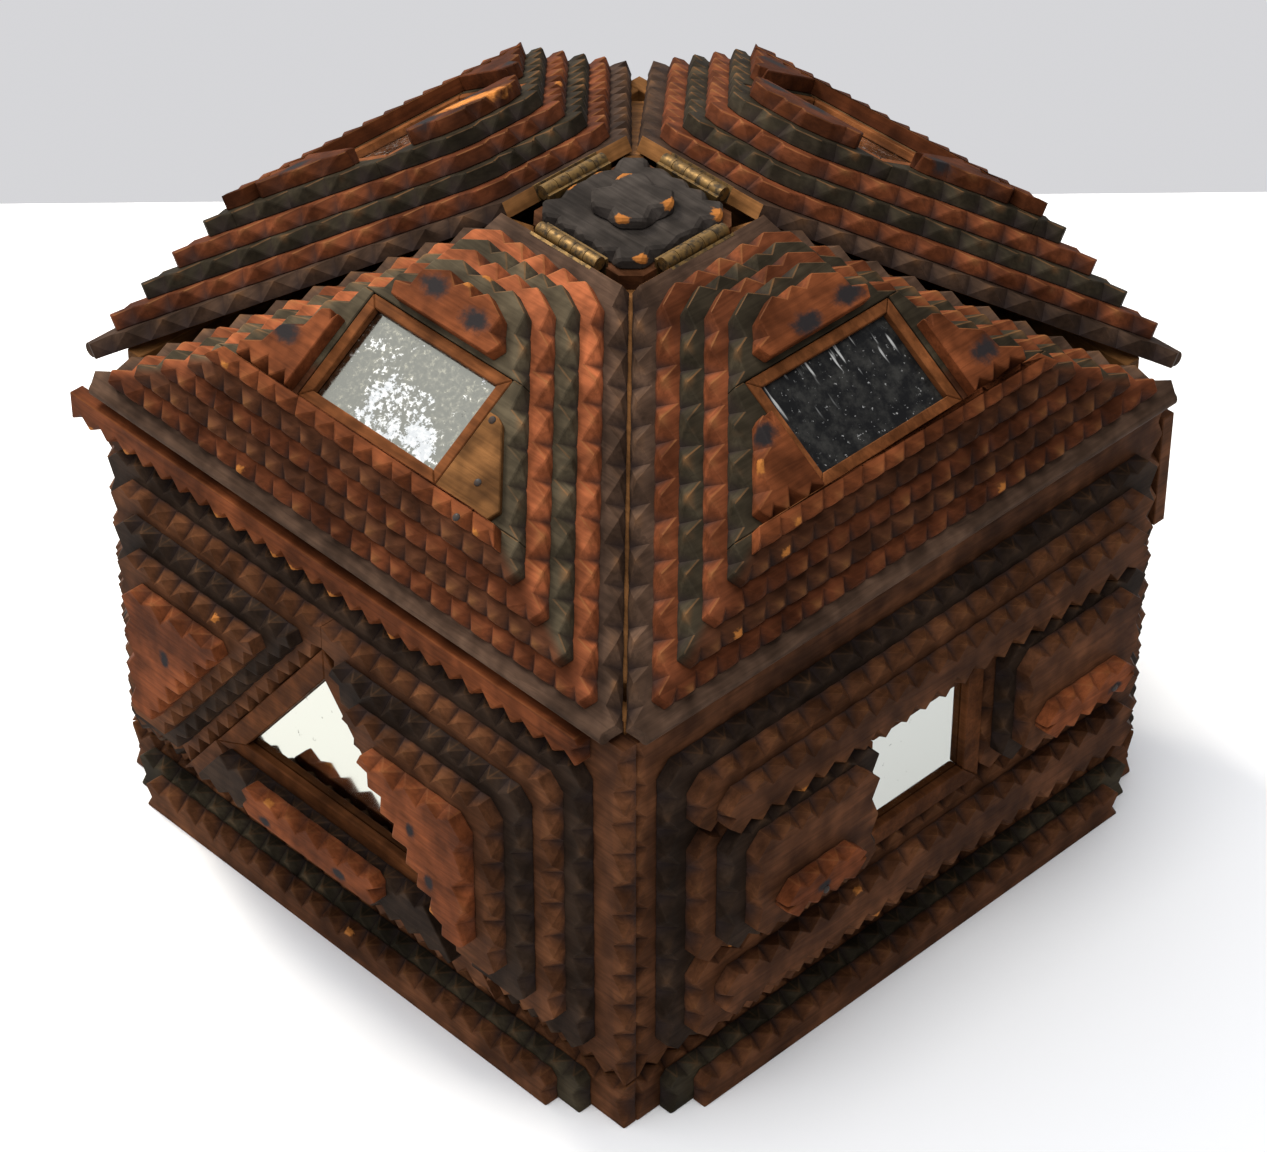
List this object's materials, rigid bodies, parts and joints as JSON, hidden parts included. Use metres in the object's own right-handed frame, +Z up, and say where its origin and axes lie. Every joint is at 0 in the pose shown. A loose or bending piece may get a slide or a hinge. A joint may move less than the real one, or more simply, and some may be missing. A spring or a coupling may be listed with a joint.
{
  "type": "tramp art box",
  "caption": "Square chip-carved wooden box in stepped layers, with mirrors on its walls and roof, and roof lids hinged round a small black cap.",
  "frame": {"origin": "middle of the underside, on the table", "axes": "+Z up, -Y towards the wall with the triangular mirror on the picture's left, +X towards the rectangular mirror on its right"},
  "size_m": [0.28, 0.28, 0.2219],
  "materials": {
    "brown_wood": "worn stain and old varnish",
    "red_wood": "worn red stain",
    "dark_wood": "worn black-green stain",
    "black_wood": "worn black paint",
    "bare_wood": "unfinished",
    "mirror_glass": "foxed mirror",
    "brass": "dull"
  },
  "bodies": {
    "box": {"floor_board": "bare_wood", "divider_a": "bare_wood", "divider_b": "bare_wood", "platform": "brown_wood", "cap_lower": "black_wood", "cap_upper": "black_wood", "base_brown_strips": "brown_wood", "base_dark_strips": "dark_wood", "eaves_strip": "brown_wood", "corner_strip": "brown_wood", "hinge_fixed_leaves": "brass", "hinge_pins": "brass", "wall_mirrors": "mirror_glass", "wall_beads": "brown_wood", "wall_front": "brown_wood", "front_brown_tiers": "brown_wood", "front_dark_tiers": "dark_wood", "front_petals": "red_wood", "wall_right": "brown_wood", "right_brown_tiers": "brown_wood", "right_dark_tiers": "dark_wood", "right_petals": "red_wood", "wall_back": "brown_wood", "back_brown_tiers": "brown_wood", "back_dark_tiers": "dark_wood", "back_petals": "red_wood", "wall_left": "brown_wood", "left_brown_tiers": "brown_wood", "left_dark_tiers": "dark_wood", "left_petals": "red_wood"},
    "lid_front": {"lid_front_board": "dark_wood", "lid_front_red_tiers": "red_wood", "lid_front_dark_tiers": "dark_wood", "lid_front_petals": "red_wood", "lid_front_mirror": "mirror_glass", "lid_front_bead": "brown_wood", "lid_front_hinge_leaf": "brass"},
    "lid_right": {"lid_right_board": "dark_wood", "lid_right_red_tiers": "red_wood", "lid_right_dark_tiers": "dark_wood", "lid_right_petals": "red_wood", "lid_right_mirror": "mirror_glass", "lid_right_bead": "brown_wood", "lid_right_hinge_leaf": "brass"},
    "lid_back": {"lid_back_board": "dark_wood", "lid_back_red_tiers": "red_wood", "lid_back_dark_tiers": "dark_wood", "lid_back_petals": "red_wood", "lid_back_mirror": "mirror_glass", "lid_back_bead": "brown_wood", "lid_back_hinge_leaf": "brass"},
    "lid_left": {"lid_left_board": "dark_wood", "lid_left_red_tiers": "red_wood", "lid_left_dark_tiers": "dark_wood", "lid_left_petals": "red_wood", "lid_left_mirror": "mirror_glass", "lid_left_bead": "brown_wood", "lid_left_hinge_leaf": "brass"}
  },
  "joints": [
    {"name": "lid_front_hinge", "type": "hinge", "parent": "box", "child": "lid_front", "pos_m": [0, -0.0252, 0.213], "axis": [-1, 0, 0], "range_deg": [0, 65]},
    {"name": "lid_right_hinge", "type": "hinge", "parent": "box", "child": "lid_right", "pos_m": [0.0252, 0, 0.213], "axis": [0, -1, 0], "range_deg": [0, 65]},
    {"name": "lid_back_hinge", "type": "hinge", "parent": "box", "child": "lid_back", "pos_m": [0, 0.0252, 0.213], "axis": [1, 0, 0], "range_deg": [0, 62]},
    {"name": "lid_left_hinge", "type": "hinge", "parent": "box", "child": "lid_left", "pos_m": [-0.0252, 0, 0.213], "axis": [0, 1, 0], "range_deg": [0, 62]}
  ]
}
